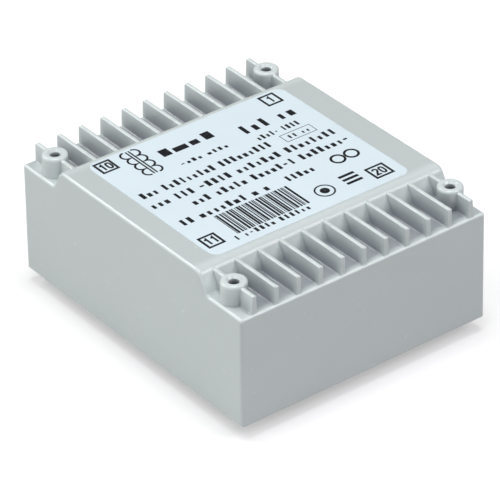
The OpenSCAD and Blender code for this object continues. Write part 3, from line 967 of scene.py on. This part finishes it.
# Each lamp's place and size in metres, its power in watts and its colour. It faces the part.
LAMPS = {
    "side_lamp": ((-0.3, -0.6, 0.2), (0.5, 0.4), 1.1, (0.95, 1.0, 0.93)),
    "top_lamp": ((0.0, 0.0, 0.85), (0.35, 0.35), 3.2, (0.97, 1.0, 0.97)),
    "end_lamp": ((0.42, 0.3, 0.5), (0.3, 0.3), 1.65, (1.0, 0.96, 1.0)),
    "front_lamp": ((0.2, -0.4, 0.65), (0.4, 0.4), 1.1, (0.93, 0.9, 1.0)),
    "corner_lamp": ((0.3, -0.55, 0.22), (0.3, 0.3), 0.37, (1.0, 1.0, 1.0)),
    "left_lamp": ((-0.5, -0.22, 0.5), (0.25, 0.25), 1.3, (1.0, 0.97, 0.98)),
}

# Camera: millimetres and degrees. It stands distance out from the part's origin, then aside and up.
CAMERA = {
    "azimuth": 52.927, "elevation": 33.137, "roll": -1.045,
    "distance": 667.224, "aside": -0.414, "up": 7.563, "lens": 253.78,
}


def add_camera():
    """The back axis points from the part to the camera: azimuth is counted from -Y towards +X."""
    az, el, roll = (math.radians(CAMERA[k]) for k in ("azimuth", "elevation", "roll"))
    back = Vector((math.sin(az) * math.cos(el), -math.cos(az) * math.cos(el), math.sin(el)))
    right = Vector((math.cos(az), math.sin(az), 0))
    up = back.cross(right)
    place = (back * CAMERA["distance"] + right * CAMERA["aside"] + up * CAMERA["up"]) * MM
    turned_right = right * math.cos(roll) + up * math.sin(roll)
    turned_up = up * math.cos(roll) - right * math.sin(roll)
    data = bpy.data.cameras.new("camera")
    data.lens = CAMERA["lens"]
    data.sensor_width = 36.0
    data.clip_start = 0.01
    data.dof.use_dof = False
    camera = bpy.data.objects.new("camera", data)
    turn = Matrix((turned_right, turned_up, back)).transposed().to_4x4()
    camera.matrix_world = Matrix.Translation(place) @ turn
    bpy.context.scene.collection.objects.link(camera)
    bpy.context.scene.camera = camera


class TRANSFORMER_OT_stage(bpy.types.Operator):
    """Set up the floor, the lamps, the world and the camera"""
    bl_idname = "transformer.stage"
    bl_label = "Stage"

    def execute(self, context):
        p = settings(context, "studio")
        context.scene.view_settings.view_transform = "Standard"
        mesh = bpy.data.meshes.new("floor")
        z = PIN_LOW.z - FLOOR_GAP
        corners = [(-1, -1), (1, -1), (1, 1), (-1, 1)]
        mesh.from_pydata([(x * FLOOR_HALF, y * FLOOR_HALF, z) for x, y in corners], [],
                         [(0, 1, 2, 3)])
        floor = bpy.data.objects.new("floor", mesh)
        context.scene.collection.objects.link(floor)
        mesh.materials.append(floor_material(p))
        studio_world(p)
        for name, (place, size, power, colour) in LAMPS.items():
            area_lamp(name, place, size, power * p.lamps, colour)
        add_camera()
        return {"FINISHED"}


STEPS = (TRANSFORMER_OT_stage, TRANSFORMER_OT_case, TRANSFORMER_OT_resin, TRANSFORMER_OT_core,
         TRANSFORMER_OT_coils, TRANSFORMER_OT_pins, TRANSFORMER_OT_film, TRANSFORMER_OT_print)


class TRANSFORMER_PT_panel(bpy.types.Panel):
    """Steps that finish the transformer"""
    bl_label = "Transformer"
    bl_idname = "TRANSFORMER_PT_panel"
    bl_space_type = "VIEW_3D"
    bl_region_type = "UI"
    bl_category = "Transformer"

    def draw(self, context):
        for step in STEPS:
            self.layout.operator(step.bl_idname)
        for name, group in SETTINGS.items():
            column = self.layout.column()
            for key in group.__annotations__:
                column.prop(settings(context, name), key)


SETTINGS = {"case": CaseSettings, "label": LabelSettings, "inside": InsideSettings,
            "studio": StudioSettings}


def register():
    for group in SETTINGS.values():
        bpy.utils.register_class(group)
    for name, group in SETTINGS.items():
        setattr(bpy.types.Scene, "transformer_" + name, PointerProperty(type=group))
    for step in STEPS:
        bpy.utils.register_class(step)
    bpy.utils.register_class(TRANSFORMER_PT_panel)


def unregister():
    bpy.utils.unregister_class(TRANSFORMER_PT_panel)
    for step in reversed(STEPS):
        bpy.utils.unregister_class(step)
    for name in SETTINGS:
        delattr(bpy.types.Scene, "transformer_" + name)
    for group in SETTINGS.values():
        bpy.utils.unregister_class(group)


def main():
    register()
    bpy.ops.transformer.stage()
    bpy.ops.transformer.case()
    bpy.ops.transformer.resin()
    bpy.ops.transformer.core()
    bpy.ops.transformer.coils()
    bpy.ops.transformer.pins()
    bpy.ops.transformer.film()
    bpy.ops.transformer.print()


if __name__ == "__main__":
    main()
